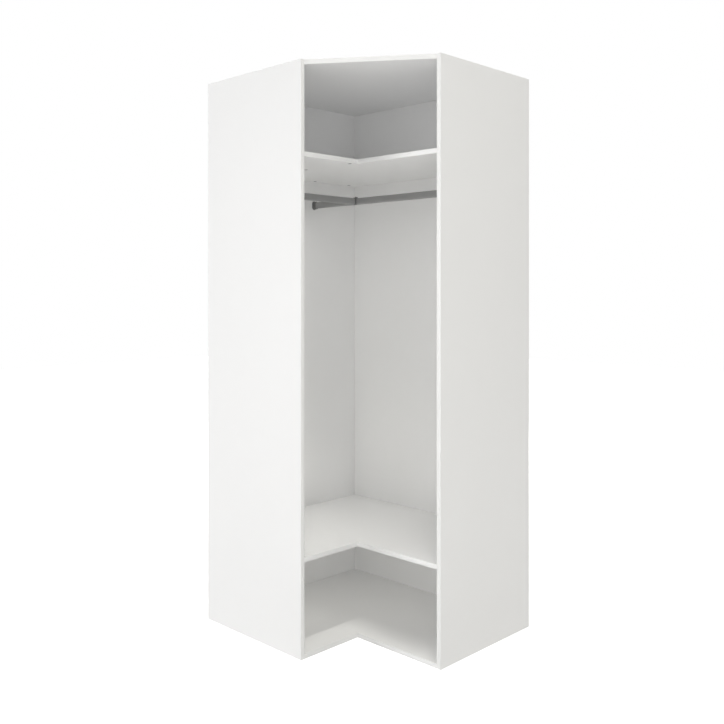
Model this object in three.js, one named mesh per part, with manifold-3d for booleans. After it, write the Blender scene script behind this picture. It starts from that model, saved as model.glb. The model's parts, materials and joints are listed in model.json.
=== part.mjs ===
// Open corner wardrobe of white melamine board: two arms of unequal length that meet in a room corner, with a
// top, two L-shaped shelves, an L-shaped base, two crossing clothes rails and no doors.
// Millimetres, +Z up. The origin is on the floor, at the centre of the overall box. The room corner is at low X
// and high Y: the left-hand wall is the plane X = -width / 2 and the right-hand wall is Y = depth / 2.
import * as THREE from "three";
import { mergeVertices } from "three/addons/utils/BufferGeometryUtils.js";
import Module from "manifold-3d";

const wasm = await Module();
wasm.setup();

// Carcass
const width = 1000; // along the right-hand wall
const depth = 885; // along the left-hand wall
const height = 2250;
const armDepth = 580; // from a wall to the front edge of the arm that stands against it
const board = 18; // thickness of every panel and shelf
const lowerClear = 345; // from the base up to the lower shelf
const upperClear = 327; // from the upper shelf up to the top

// Cam locks, which hold the shelf boards from their undersides
const camRadius = 7.5;
const camEdge = 24; // from a board's end to the cam's axis
const camThrow = 0.6; // how far the cavity stands off the cam's axis
const cavityRadius = 4.9;
const crossReach = 3.2; // from the axis to the tip of the driver's cross
const crossWidth = 1.4;
const crossDepth = 2.6;
const arrowReach = 6.8; // from the axis to the tip of the arrow in the cam's face
const arrowLength = 2.2;
const arrowWidth = 2.4;
const arrowDepth = 0.7;
const longRowRear = 64; // first fitting in a long board's end, from the board's rear edge
const longRowFront = 50; // last fitting in a long board's end, from the board's front edge
const shortRowRear = 30; // the same in the short board's ends
const shortRowFront = 20;

// Steel connecting bolts, whose ball heads the cams draw in
const ballRadius = 3.5;
const ballOffset = 0.4; // from the cam's axis towards the bolt's thread
const neckRadius = 2.1;
const shankRadius = 3.5;
const shankClear = 0.6; // from the cam's drum to the thick part of the bolt
const boreClear = 0.5; // around the bolt in its bore
const threadRadius = 2.5;
const threadLong = 11; // inside the panel or the board's edge that carries the bolt

// Dowels, glued into one board's edge and seated in blind holes of the next
const dowelRadius = 4;
const dowelReach = 11; // out of the edge that it is glued into
const dowelTip = 1; // bevel at its end
const dowelInset = 60; // from the ends of a row to its first and last dowel
const edgeDowelCount = 3; // along each end of the base and the top
const uprightDowelCount = 5; // along each upright edge

// Oval clothes rails
const railHigh = 30;
const railWide = 15;
const railWall = 1;
const railDrop = 110; // from the upper shelf's underside to the rails' centre

// Rail sockets
const flangeHigh = 40;
const flangeWide = 25;
const flangeThick = 3;
const sleeveWall = 2.5;
const sleeveReach = 18; // from the panel's face to the sleeve's rim
const railPlay = 0.5; // from a rail's end to the socket's floor
const socketScrewPitch = 16;

// Countersunk socket screws
const screwHeadRadius = 3.5;
const screwHeadHigh = 2;
const screwRadius = 1.75;
const screwLength = 16;
const screwTip = 2.5;

// Saddle that carries the short rail on the long one
const saddleWall = 3.2;
const saddleLong = 18; // along the long rail
const saddleLip = 12; // how far its far side reaches down from the rail's top
const saddlePlate = 2.5; // plate between the saddle and the short rail
const plateRim = 2; // how far that plate stands out around the short rail
const plugLong = 20; // inside the short rail

// Pan-head saddle screw
const panRadius = 4;
const panHigh = 2.6;
const panScrewLong = 11; // below the head

// Gaps and cuts
const fit = 0.3; // between a piece and the cut or the neighbour that holds it
const overrun = 1; // how far a cut runs past the face that it opens

// Facets
const drumSides = 16;
const cavitySides = 10;
const boltSides = 8;
const dowelSides = 8;
const screwSides = 8;
const ballSteps = 4;
const arcSteps = 6;

// Planes that the boards share
const xLeft = -width / 2;
const xRight = width / 2;
const yFront = -depth / 2;
const yBack = depth / 2;
const innerLeft = xLeft + board;
const innerRight = xRight - board;
const innerFront = yFront + board;
const innerBack = yBack - board;
const leftArmFront = xLeft + armDepth;
const rightArmFront = yBack - armDepth;
const boardReach = armDepth - board; // from the back panel to a shelf's front edge
const lowerShelf = board + lowerClear;
const upperShelf = height - board - upperClear - board;
const railLevel = upperShelf - railDrop;
const railX = xLeft + armDepth / 2; // the short rail hangs in the middle of the left arm
const railY = yBack - armDepth / 2; // the long rail hangs in the middle of the right arm

// Sizes that the fittings take from the board
const middle = board / 2;
const camHigh = middle + ballRadius;
const cavityFloor = middle - ballRadius - fit;

// Ways that a fitting points, as turns about Z from +X
const toLeft = Math.PI;
const toRight = 0;
const toBack = Math.PI / 2;
const toFront = -Math.PI / 2;

const root = new THREE.Group();
const finishes = {
  melamine: { color: 0xf0f0ee, roughness: 0.5, metalness: 0 },
  rail: { color: 0x9b9c9b, roughness: 0.35, metalness: 0.9 },
  steel: { color: 0xa0a1a0, roughness: 0.4, metalness: 0.9 },
  castZinc: { color: 0x7c7d80, roughness: 0.5, metalness: 0.8 },
  satinZinc: { color: 0x8b8c8b, roughness: 0.4, metalness: 0.8 },
  blackSteel: { color: 0x4a4b4d, roughness: 0.5, metalness: 0.6 },
};

// Radius of a many-sided prism whose flat sides stand at the given distance from its axis.
function around(radius, sides) {
  return radius / Math.cos(Math.PI / sides);
}

// Turns a closed geometry into a solid that can be joined and cut.
function toSolid(geometry) {
  const bare = geometry.clone();
  bare.deleteAttribute("normal");
  bare.deleteAttribute("uv");
  const merged = mergeVertices(bare);
  const corners = [];
  for (let i = 0; i < merged.index.count; i += 3) {
    const [a, b, c] = [0, 1, 2].map((k) => merged.index.getX(i + k));
    if (a !== b && b !== c && c !== a) corners.push(a, b, c);
  }
  const mesh = new wasm.Mesh({
    numProp: 3,
    vertProperties: new Float32Array(merged.attributes.position.array),
    triVerts: new Uint32Array(corners),
  });
  return new wasm.Manifold(mesh);
}

// Turns a solid back into a geometry with flat faces.
function toGeometry(solid) {
  const mesh = solid.getMesh();
  const geometry = new THREE.BufferGeometry();
  geometry.setAttribute("position", new THREE.BufferAttribute(new Float32Array(mesh.vertProperties), 3));
  geometry.setIndex(new THREE.BufferAttribute(new Uint32Array(mesh.triVerts), 1));
  const flat = geometry.toNonIndexed();
  flat.computeVertexNormals();
  return flat;
}

function cutAll(solid, geometries) {
  return geometries.reduce((rest, geometry) => rest.subtract(toSolid(geometry)), solid);
}

// Box between two opposite corners.
function box(low, high) {
  const size = high.map((value, k) => value - low[k]);
  const centre = high.map((value, k) => (value + low[k]) / 2);
  return new THREE.BoxGeometry(...size).translate(...centre);
}

// Upright cylinder between two heights, on the Z axis.
function post(radius, low, high, sides) {
  const shape = new THREE.CylinderGeometry(radius, radius, high - low, sides);
  return shape.rotateX(Math.PI / 2).translate(0, 0, (high + low) / 2);
}

// Solid of revolution about X, from [distance along X, radius] points that start and end on the axis.
function turned(points, sides) {
  const profile = points.map(([along, radius]) => new THREE.Vector2(radius, along));
  return new THREE.LatheGeometry(profile, sides).rotateZ(-Math.PI / 2);
}

// Round hole along X between two distances, with flats that clear the given radius.
function roundHole(radius, low, high, sides) {
  const wide = around(radius, sides);
  return turned([[low, 0], [low, wide], [high, wide], [high, 0]], sides);
}

// Outline with straight sides and round ends, upright, centred on the origin.
function oval(wide, high) {
  const radius = wide / 2;
  const straight = high / 2 - radius;
  const shape = new THREE.Shape();
  shape.moveTo(radius, -straight);
  shape.lineTo(radius, straight);
  shape.absarc(0, straight, radius, 0, Math.PI);
  shape.lineTo(-radius, -straight);
  shape.absarc(0, -straight, radius, Math.PI, 2 * Math.PI);
  return shape;
}

// Extrudes an outline along X, with the outline's own Y pointing up.
function alongX(shape, low, high) {
  const options = { depth: high - low, bevelEnabled: false, curveSegments: arcSteps };
  const basis = new THREE.Matrix4().makeBasis(
    new THREE.Vector3(0, 1, 0),
    new THREE.Vector3(0, 0, 1),
    new THREE.Vector3(1, 0, 0),
  );
  return new THREE.ExtrudeGeometry(shape, options).applyMatrix4(basis).translate(low, 0, 0);
}

// Adds a named mesh with a material of its own.
function addPiece(name, geometry, finish, position, turn = 0) {
  const mesh = new THREE.Mesh(geometry, new THREE.MeshStandardMaterial(finish));
  mesh.name = name;
  mesh.position.set(...position);
  mesh.rotation.z = turn;
  root.add(mesh);
}

// Dowel, with the face of the edge that it stands out of at X = 0.
function dowelGeometry() {
  const points = [
    [-overrun, 0],
    [-overrun, dowelRadius],
    [dowelReach - dowelTip, dowelRadius],
    [dowelReach, dowelRadius - dowelTip],
    [dowelReach, 0],
  ];
  return turned(points, dowelSides);
}

// A board that pockets and holes are drilled in, kept in a frame at its own low corner until it is finished.
class Board {
  constructor(name, low, outline) {
    this.name = name;
    this.low = low;
    this.solid = toSolid(outline);
  }

  place(geometry, position, turn) {
    const offset = position.map((value, k) => value - this.low[k]);
    return toSolid(geometry.rotateZ(turn).translate(...offset));
  }

  drill(geometry, position, turn) {
    this.solid = this.solid.subtract(this.place(geometry, position, turn));
  }

  dowelInto(next, position, turn) {
    this.solid = this.solid.add(this.place(dowelGeometry(), position, turn));
    next.drill(roundHole(dowelRadius + fit, -overrun, dowelReach + fit, dowelSides), position, turn);
  }

  finish() {
    addPiece(this.name, toGeometry(this.solid), finishes.melamine, this.low);
  }
}

function plainBoard(name, low, high) {
  const size = high.map((value, k) => value - low[k]);
  return new Board(name, low, box([0, 0, 0], size));
}

// Upright panels: the left back panel and the right end panel are the sides of the long arm, and the right back
// panel stands between them. The left end panel closes the short arm.
const leftBackPanel = plainBoard("left_back_panel", [xLeft, innerFront, 0], [innerLeft, yBack, height]);
const rightBackPanel = plainBoard("right_back_panel", [innerLeft, innerBack, 0], [innerRight, yBack, height]);
const leftEndPanel = plainBoard("left_end_panel", [xLeft, yFront, 0], [leftArmFront, innerFront, height]);
const rightEndPanel = plainBoard("right_end_panel", [innerRight, rightArmFront, 0], [xRight, yBack, height]);

// Top: one five-sided board, whose front edge runs straight from one end panel to the other.
const topOutline = new THREE.Shape([
  new THREE.Vector2(innerLeft, innerFront),
  new THREE.Vector2(leftArmFront, innerFront),
  new THREE.Vector2(innerRight, rightArmFront),
  new THREE.Vector2(innerRight, innerBack),
  new THREE.Vector2(innerLeft, innerBack),
]);
const topGeometry = new THREE.ExtrudeGeometry(topOutline, { depth: board, bevelEnabled: false });
const topPanel = new Board("top_panel", [0, 0, height - board], topGeometry);

// L-shaped levels: a long board between the left back panel and the right end panel, and a short board that
// butts against its front edge and reaches to the left end panel.
function levelBoards(name, bottom) {
  const top = bottom + board;
  const longLow = [innerLeft, rightArmFront, bottom];
  const shortLow = [innerLeft, innerFront, bottom];
  return {
    name,
    bottom,
    longBoard: plainBoard(`${name}_long_board`, longLow, [innerRight, innerBack, top]),
    shortBoard: plainBoard(`${name}_short_board`, shortLow, [leftArmFront, rightArmFront, top]),
  };
}

const base = levelBoards("base", 0);
const shelves = [levelBoards("lower_shelf", lowerShelf), levelBoards("upper_shelf", upperShelf)];

// Rows of dowels that hold the base, the top and the uprights together. A row runs from one point to another.
function dowelRow(from, into, start, end, turn, count) {
  const first = new THREE.Vector3(...start);
  const last = new THREE.Vector3(...end);
  const step = last.clone().sub(first).normalize();
  first.addScaledVector(step, dowelInset);
  last.addScaledVector(step, -dowelInset);
  for (let index = 0; index < count; index += 1) {
    const place = first.clone().lerp(last, index / (count - 1));
    from.dowelInto(into, place.toArray(), turn);
  }
}

const { longBoard: baseLong, shortBoard: baseShort } = base;
const topLevel = height - middle;
const rows = [
  [baseLong, leftBackPanel, [innerLeft, rightArmFront, middle], [innerLeft, innerBack, middle], toLeft],
  [baseLong, rightEndPanel, [innerRight, rightArmFront, middle], [innerRight, innerBack, middle], toRight],
  [baseShort, baseLong, [innerLeft, rightArmFront, middle], [leftArmFront, rightArmFront, middle], toBack],
  [baseShort, leftEndPanel, [innerLeft, innerFront, middle], [leftArmFront, innerFront, middle], toFront],
  [topPanel, leftBackPanel, [innerLeft, innerFront, topLevel], [innerLeft, innerBack, topLevel], toLeft],
  [topPanel, rightEndPanel, [innerRight, rightArmFront, topLevel], [innerRight, innerBack, topLevel], toRight],
  [topPanel, leftEndPanel, [innerLeft, innerFront, topLevel], [leftArmFront, innerFront, topLevel], toFront],
];
for (const row of rows) {
  dowelRow(...row, edgeDowelCount);
}

const backMiddle = yBack - middle;
const sideMiddle = xLeft + middle;
const uprightRows = [
  [rightBackPanel, leftBackPanel, [innerLeft, backMiddle, 0], [innerLeft, backMiddle, height], toLeft],
  [rightBackPanel, rightEndPanel, [innerRight, backMiddle, 0], [innerRight, backMiddle, height], toRight],
  [leftBackPanel, leftEndPanel, [sideMiddle, innerFront, 0], [sideMiddle, innerFront, height], toFront],
];
for (const row of uprightRows) {
  dowelRow(...row, uprightDowelCount);
}

// Cam: a drum with an eccentric cavity open to its inner end, a mouth that lets the bolt's ball in, and a slot
// along its wall for the bolt's neck. Its face lies in the board's underside. At rest it is locked: the bolt
// lies along +X, and the mouth and the arrow on its face point the other way.
function camGeometry() {
  const neckHalf = neckRadius + fit;
  const mouthHalf = ballRadius + fit;
  const past = camRadius + overrun;
  const crossHalf = crossWidth / 2;
  const arrow = new THREE.Shape([
    new THREE.Vector2(-arrowReach, 0),
    new THREE.Vector2(arrowLength - arrowReach, -arrowWidth / 2),
    new THREE.Vector2(arrowLength - arrowReach, arrowWidth / 2),
  ]);
  const arrowCut = new THREE.ExtrudeGeometry(arrow, { depth: arrowDepth + overrun, bevelEnabled: false });
  const cavity = post(around(cavityRadius, cavitySides), cavityFloor, camHigh + overrun, cavitySides);
  const drum = toSolid(post(camRadius, 0, camHigh, drumSides));
  return toGeometry(cutAll(drum, [
    cavity.translate(-camThrow, 0, 0),
    box([-past, -mouthHalf, cavityFloor], [0, mouthHalf, camHigh + overrun]),
    box([-past, -neckHalf, middle - neckHalf], [past, past, middle + neckHalf]),
    box([-crossReach, -crossHalf, -overrun], [crossReach, crossHalf, crossDepth]),
    box([-crossHalf, -crossReach, -overrun], [crossHalf, crossReach, crossDepth]),
    arrowCut.translate(0, 0, -overrun),
  ]));
}

// Bolt: ball, neck, shank and thread. Its ball is at the cam's axis and its thread on the side of +X.
function boltGeometry() {
  const points = [];
  const neckAngle = Math.asin(neckRadius / ballRadius);
  for (let step = 0; step <= ballSteps; step += 1) {
    const angle = Math.PI - (step / ballSteps) * (Math.PI - neckAngle);
    const radius = step === 0 ? 0 : ballRadius * Math.sin(angle);
    points.push([ballOffset + ballRadius * Math.cos(angle), radius]);
  }
  const shankStart = camRadius + shankClear;
  const shoulder = camEdge - fit;
  const end = camEdge + threadLong;
  points.push([shankStart, neckRadius], [shankStart, shankRadius], [shoulder, shankRadius]);
  points.push([shoulder, threadRadius], [end, threadRadius], [end, 0]);
  return turned(points, boltSides);
}

// What a board is drilled with for a cam and its bolt, and what the carrier of the bolt is drilled with.
function drillForCam(drilled, carrier, position, turn) {
  const level = [position[0], position[1], position[2] + middle];
  const holeEnd = camEdge + threadLong + fit;
  const pocket = post(around(camRadius + fit, drumSides), -overrun, camHigh + fit, drumSides);
  drilled.drill(pocket, position, turn);
  drilled.drill(roundHole(shankRadius + boreClear, 0, camEdge + overrun, boltSides), level, turn);
  carrier.drill(roundHole(threadRadius + fit, camEdge - overrun, holeEnd, boltSides), level, turn);
}

// Three places along a board's end, from its rear edge to its front edge.
const places = ["rear", "middle", "front"];
function spread(rear, front) {
  const pitch = (boardReach - rear - front) / (places.length - 1);
  return places.map((place, index) => ({ place, distance: rear + index * pitch }));
}

// The four ends of a shelf's two boards, each with a row of fittings along an edge. The back end and the joint
// are held by cams alone. The right and left ends have one cam in the middle, between two dowels.
function shelfEnds({ longBoard, shortBoard }) {
  const along = (x) => (distance) => [x, innerBack - distance];
  const across = (y) => (distance) => [innerLeft + distance, y];
  const long = { drilled: longBoard, row: spread(longRowRear, longRowFront) };
  const short = { drilled: shortBoard, row: spread(shortRowRear, shortRowFront) };
  return [
    { ...long, end: "back", carrier: leftBackPanel, at: along(innerLeft), turn: toLeft, doweled: false },
    { ...long, end: "right", carrier: rightEndPanel, at: along(innerRight), turn: toRight, doweled: true },
    { ...short, end: "joint", carrier: longBoard, at: across(rightArmFront), turn: toBack, doweled: false },
    { ...short, end: "left", carrier: leftEndPanel, at: across(innerFront), turn: toFront, doweled: true },
  ];
}

function addCamLock(shelf, { end, drilled, carrier, turn }, place, [x, y]) {
  const camX = x - camEdge * Math.cos(turn);
  const camY = y - camEdge * Math.sin(turn);
  const camAt = [camX, camY, shelf.bottom];
  const boltAt = [camX, camY, shelf.bottom + middle];
  drillForCam(drilled, carrier, camAt, turn);
  addPiece(`${shelf.name}_${end}_cam_${place}`, camGeometry(), finishes.castZinc, camAt, turn);
  addPiece(`${shelf.name}_${end}_bolt_${place}`, boltGeometry(), finishes.steel, boltAt, turn);
}

for (const shelf of shelves) {
  for (const shelfEnd of shelfEnds(shelf)) {
    const { drilled, carrier, at, turn, row, doweled } = shelfEnd;
    for (const { place, distance } of row) {
      const [x, y] = at(distance);
      if (doweled && place !== "middle") {
        drilled.dowelInto(carrier, [x, y, shelf.bottom + middle], turn);
      } else {
        addCamLock(shelf, shelfEnd, place, [x, y]);
      }
    }
  }
}

// Cross recess in a screw's head, whose face looks towards +X at the given distance.
const recessReachShare = 0.62; // of the head's radius
const recessHalfShare = 0.2;
const recessDepthShare = 0.5; // of the head's height
function crossRecess(face, radius, high) {
  const reach = radius * recessReachShare;
  const half = radius * recessHalfShare;
  const floor = face - high * recessDepthShare;
  return [
    box([floor, -reach, -half], [face + overrun, reach, half]),
    box([floor, -half, -reach], [face + overrun, half, reach]),
  ];
}

// Countersunk hole for a screw that is driven in along -X, with its head at the floor of a socket.
function screwHole() {
  const shank = around(screwRadius + fit, screwSides);
  const head = around(screwHeadRadius + fit, screwSides);
  const points = [
    [-screwLength - fit, 0],
    [-screwLength - fit, shank],
    [flangeThick - screwHeadHigh - fit, shank],
    [flangeThick - fit, head],
    [flangeThick + overrun, head],
    [flangeThick + overrun, 0],
  ];
  return turned(points, screwSides);
}

function socketScrewGeometry() {
  const face = flangeThick - fit;
  const points = [
    [-screwLength, 0],
    [screwTip - screwLength, screwRadius],
    [face - screwHeadHigh, screwRadius],
    [face, screwHeadRadius],
    [face, 0],
  ];
  const screw = toSolid(turned(points, screwSides));
  return toGeometry(cutAll(screw, crossRecess(face, screwHeadRadius, screwHeadHigh)));
}

// Rail socket on a panel's face at X = 0, opening towards +X, with two screws in its floor.
function socketGeometry() {
  const sleeve = oval(railWide + 2 * (fit + sleeveWall), railHigh + 2 * (fit + sleeveWall));
  const mouth = oval(railWide + 2 * fit, railHigh + 2 * fit);
  const flange = toSolid(alongX(oval(flangeWide, flangeHigh), 0, flangeThick));
  const body = flange.add(toSolid(alongX(sleeve, 0, sleeveReach)));
  return toGeometry(cutAll(body, [
    alongX(mouth, flangeThick, sleeveReach + overrun),
    screwHole().translate(0, 0, socketScrewPitch / 2),
    screwHole().translate(0, 0, -socketScrewPitch / 2),
  ]));
}

const sockets = [
  { name: "long_rail_left", position: [innerLeft, railY, railLevel], turn: toRight, carrier: leftBackPanel },
  { name: "long_rail_right", position: [innerRight, railY, railLevel], turn: toLeft, carrier: rightEndPanel },
  { name: "short_rail", position: [railX, innerFront, railLevel], turn: toBack, carrier: leftEndPanel },
];

for (const { name, position, turn, carrier } of sockets) {
  addPiece(`${name}_socket`, socketGeometry(), finishes.satinZinc, position, turn);
  for (const [label, side] of [["upper", 1], ["lower", -1]]) {
    const place = [position[0], position[1], position[2] + (side * socketScrewPitch) / 2];
    carrier.drill(screwHole(), place, turn);
    addPiece(`${name}_socket_screw_${label}`, socketScrewGeometry(), finishes.steel, place, turn);
  }
}

// Rails: oval tubes. The long one runs from socket to socket, and the short one from its socket to the saddle.
const railGap = flangeThick + railPlay; // from a panel's face to the rail's end
const saddleSide = railWide / 2 + fit + saddleWall; // from the long rail's middle to the saddle's outer face
const plateFace = saddleSide + saddlePlate;

function railTube(low, high) {
  const outline = oval(railWide, railHigh);
  outline.holes.push(oval(railWide - 2 * railWall, railHigh - 2 * railWall));
  return alongX(outline, low, high);
}

// Way for the saddle's screw, down to the level of the rails' centre.
function saddleScrewWay() {
  return post(around(screwRadius + fit, screwSides), 0, railHigh, screwSides);
}

const longRailLeft = innerLeft + railGap;
const longRailRight = innerRight - railGap;
const longRailTube = toSolid(railTube(longRailLeft, longRailRight));
const longRail = cutAll(longRailTube, [saddleScrewWay().translate(railX, 0, 0)]);
addPiece("long_rail", toGeometry(longRail), finishes.rail, [0, railY, railLevel]);

const shortRailEnd = railY - plateFace - fit; // next to the saddle's plate
const shortRailLength = shortRailEnd - (innerFront + railGap);
const shortRailPlace = [railX, shortRailEnd, railLevel];
addPiece("short_rail", railTube(-shortRailLength, 0), finishes.rail, shortRailPlace, toBack);

// Saddle: hooks over the long rail and ends in a plug inside the short rail. Its origin is where the rails'
// centre lines cross. In its own frame the long rail runs along Y, and the short rail lies on the side of -X.
function saddleGeometry() {
  const half = saddleLong / 2;
  const past = half + overrun;
  const inner = [railWide + 2 * fit, railHigh + 2 * fit];
  const outer = inner.map((value) => value + 2 * saddleWall);
  const plug = [railWide, railHigh].map((value) => value - 2 * (railWall + fit));
  const plate = [railWide, railHigh].map((value) => value + 2 * plateRim);
  const lipEnd = railHigh / 2 - saddleLip;
  const below = -outer[1] / 2 - overrun;
  const hook = cutAll(toSolid(alongX(oval(...outer), -half, half).rotateZ(toBack)), [
    box([0, -past, below], [outer[0], past, lipEnd]),
    box([-outer[0], -past, below], [outer[0], past, -railHigh / 2]),
  ]);
  const plateBack = saddleWall / 2 - saddleSide; // inside the hook's wall
  const plugBack = saddlePlate / 2 - plateFace; // inside the plate
  const withPlate = hook.add(toSolid(alongX(oval(...plate), -plateFace, plateBack)));
  const way = alongX(oval(...inner), -past, past).rotateZ(toBack);
  const open = cutAll(withPlate, [way, saddleScrewWay()]);
  return toGeometry(open.add(toSolid(alongX(oval(...plug), -plateFace - plugLong, plugBack))));
}

addPiece("rail_saddle", saddleGeometry(), finishes.satinZinc, [railX, railY, railLevel], toBack);

// Pan-head screw, driven down through the saddle into the long rail's top wall.
function saddleScrewGeometry() {
  const seat = railHigh / 2 + fit + saddleWall + fit;
  const top = seat + panHigh;
  const points = [
    [seat - panScrewLong, 0],
    [seat - panScrewLong + screwTip, screwRadius],
    [seat, screwRadius],
    [seat, panRadius],
  ];
  const domeSteps = arcSteps / 2;
  for (let step = 1; step < domeSteps; step += 1) {
    const angle = (step / domeSteps) * (Math.PI / 2);
    points.push([seat + panHigh * Math.sin(angle), panRadius * Math.cos(angle)]);
  }
  points.push([top, 0]);
  const screw = toSolid(turned(points, screwSides));
  return toGeometry(cutAll(screw, crossRecess(top, panRadius, panHigh))).rotateY(-Math.PI / 2);
}

addPiece("rail_saddle_screw", saddleScrewGeometry(), finishes.blackSteel, [railX, railY, railLevel]);

// Boards go in last, once every dowel, pocket and hole is in them.
const levels = [base, ...shelves].flatMap(({ longBoard, shortBoard }) => [longBoard, shortBoard]);
for (const piece of [leftBackPanel, rightBackPanel, leftEndPanel, rightEndPanel, topPanel, ...levels]) {
  piece.finish();
}

export default root;
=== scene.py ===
# Open corner wardrobe of white melamine board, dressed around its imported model.
# The file follows the wardrobe as it is put together: boards and their edging, cam locks, clothes rails with
# their fittings, then the studio with its lights and camera. Lengths are in metres and turns in radians.
import json
import math
import bpy
from mathutils import Matrix, Vector


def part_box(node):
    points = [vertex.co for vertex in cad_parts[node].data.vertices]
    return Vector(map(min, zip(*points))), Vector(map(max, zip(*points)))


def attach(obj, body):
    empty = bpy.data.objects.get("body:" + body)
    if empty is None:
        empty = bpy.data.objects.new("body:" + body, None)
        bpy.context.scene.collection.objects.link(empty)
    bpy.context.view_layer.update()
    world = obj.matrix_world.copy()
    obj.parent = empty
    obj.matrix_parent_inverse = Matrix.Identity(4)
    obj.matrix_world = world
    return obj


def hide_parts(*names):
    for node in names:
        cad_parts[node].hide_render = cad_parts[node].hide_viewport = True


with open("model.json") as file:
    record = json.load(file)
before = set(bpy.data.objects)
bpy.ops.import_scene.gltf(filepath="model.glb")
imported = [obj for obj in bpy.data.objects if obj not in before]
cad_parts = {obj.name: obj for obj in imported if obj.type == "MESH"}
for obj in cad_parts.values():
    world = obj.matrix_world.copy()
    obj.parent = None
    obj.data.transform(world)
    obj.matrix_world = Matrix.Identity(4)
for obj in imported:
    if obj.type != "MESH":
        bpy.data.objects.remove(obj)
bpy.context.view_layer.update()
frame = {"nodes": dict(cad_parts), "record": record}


# Board faces. Each board is chipboard with matt white melamine pressed on under heat. The press plate leaves
# a very fine pearl in the surface, which breaks up its sheen.
def give(tree, socket, value):
    """Sets a socket to a number or a tuple of numbers, or links another node's output to it."""
    if isinstance(value, bpy.types.NodeSocket):
        tree.links.new(value, socket)
    else:
        socket.default_value = value


def feed(tree, node, **inputs):
    """Gives each named input of a node its value. Spaces in the names are written as underscores."""
    for name, value in inputs.items():
        give(tree, node.inputs[name.replace("_", " ")], value)
    return node


def add_node(tree, kind, **inputs):
    return feed(tree, tree.nodes.new(kind), **inputs)


def new_material(name):
    material = bpy.data.materials.new(name)
    material.use_nodes = True
    return material, material.node_tree, material.node_tree.nodes["Principled BSDF"]


def object_position(tree, scale=(1.0, 1.0, 1.0)):
    """Object coordinates, stretched by a Mapping node."""
    place = tree.nodes.new("ShaderNodeTexCoord").outputs["Object"]
    return add_node(tree, "ShaderNodeMapping", Vector=place, Scale=scale).outputs["Vector"]


def pearl_group():
    """Pearl of a pressed, cast or coated surface: a broad mask to mottle it and a finely bumped normal."""
    group = bpy.data.node_groups.new("pearl", "ShaderNodeTree")
    face = group.interface
    face.new_socket("Vector", in_out="INPUT", socket_type="NodeSocketVector")
    for name in ("Grains per metre", "Patches per metre", "Depth"):
        face.new_socket(name, in_out="INPUT", socket_type="NodeSocketFloat")
    face.new_socket("Mottle", in_out="OUTPUT", socket_type="NodeSocketFloat")
    face.new_socket("Normal", in_out="OUTPUT", socket_type="NodeSocketVector")
    given = group.nodes.new("NodeGroupInput").outputs
    fine = add_node(
        group, "ShaderNodeTexNoise", Vector=given["Vector"], Scale=given["Grains per metre"], Detail=2.0,
        Roughness=0.6,
    )
    broad = add_node(
        group, "ShaderNodeTexNoise", Vector=given["Vector"], Scale=given["Patches per metre"], Detail=3.0,
    )
    bump = add_node(
        group, "ShaderNodeBump", Strength=0.5, Distance=given["Depth"], Height=fine.outputs["Fac"],
    )
    add_node(group, "NodeGroupOutput", Mottle=broad.outputs["Fac"], Normal=bump.outputs["Normal"])
    return group


pearl = pearl_group()


def vary(tree, mask, low, high):
    """Numbers between low and high that follow a noise mask over the middle stretch of its range."""
    mask_low, mask_high = 0.3, 0.7
    spread = add_node(tree, "ShaderNodeMapRange", Value=mask, From_Min=mask_low, From_Max=mask_high)
    return feed(tree, spread, To_Min=low, To_Max=high).outputs["Result"]


def blend_colours(tree, mask, first, second):
    mix = tree.nodes.new("ShaderNodeMix")
    mix.data_type = "RGBA"
    for socket in mix.inputs:
        if socket.type == "RGBA":
            socket.default_value = first if socket.name == "A" else second
    feed(tree, mix, Factor=mask)
    return next(socket for socket in mix.outputs if socket.type == "RGBA")


def pearled_material(
    name, colours, roughness, grains, patches, depth, metallic=0.0, stretch=(1.0, 1.0, 1.0),
):
    """Smooth hard surface with a fine pearl, whose colour and sheen drift a little over the piece."""
    material, tree, shader = new_material(name)
    grain = tree.nodes.new("ShaderNodeGroup")
    grain.node_tree = pearl
    feed(
        tree, grain, Vector=object_position(tree, stretch), Grains_per_metre=grains,
        Patches_per_metre=patches, Depth=depth,
    )
    mottle = grain.outputs["Mottle"]
    feed(
        tree, shader, Base_Color=blend_colours(tree, mottle, *colours), Metallic=metallic,
        Roughness=vary(tree, mottle, *roughness), Normal=grain.outputs["Normal"],
    )
    return material


melamine = pearled_material(
    "melamine",
    colours=((0.862, 0.862, 0.859, 1.0), (0.878, 0.878, 0.875, 1.0)),
    roughness=(0.42, 0.5),
    grains=1400.0,
    patches=6.0,
    depth=0.00002,
)


# Raw chipboard, which shows at the boards' rear and lower edges and in the drilled pockets. It is pressed
# from wood: pale and brown chips lie among finer dust.
def chipboard_material():
    dark_chip, brown_chip = (0.2, 0.12, 0.06, 1.0), (0.5, 0.36, 0.21, 1.0)
    pale_chip, brown_share = (0.62, 0.47, 0.3, 1.0), 0.45
    material, tree, shader = new_material("chipboard")
    place = object_position(tree)
    chips = add_node(tree, "ShaderNodeTexVoronoi", Vector=place, Scale=650.0)
    dust = add_node(tree, "ShaderNodeTexNoise", Vector=place, Scale=1800.0, Detail=3.0)
    split = add_node(tree, "ShaderNodeSeparateColor", Color=chips.outputs["Color"])
    ramp = add_node(tree, "ShaderNodeValToRGB", Fac=split.outputs["Red"])
    ramp.color_ramp.elements[0].color = dark_chip
    ramp.color_ramp.elements[1].color = pale_chip
    ramp.color_ramp.elements.new(brown_share).color = brown_chip
    bump = add_node(tree, "ShaderNodeBump", Strength=0.6, Distance=0.0003, Height=dust.outputs["Fac"])
    feed(tree, shader, Base_Color=ramp.outputs["Color"], Roughness=0.85, Normal=bump.outputs["Normal"])
    return material


chipboard = chipboard_material()


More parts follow.
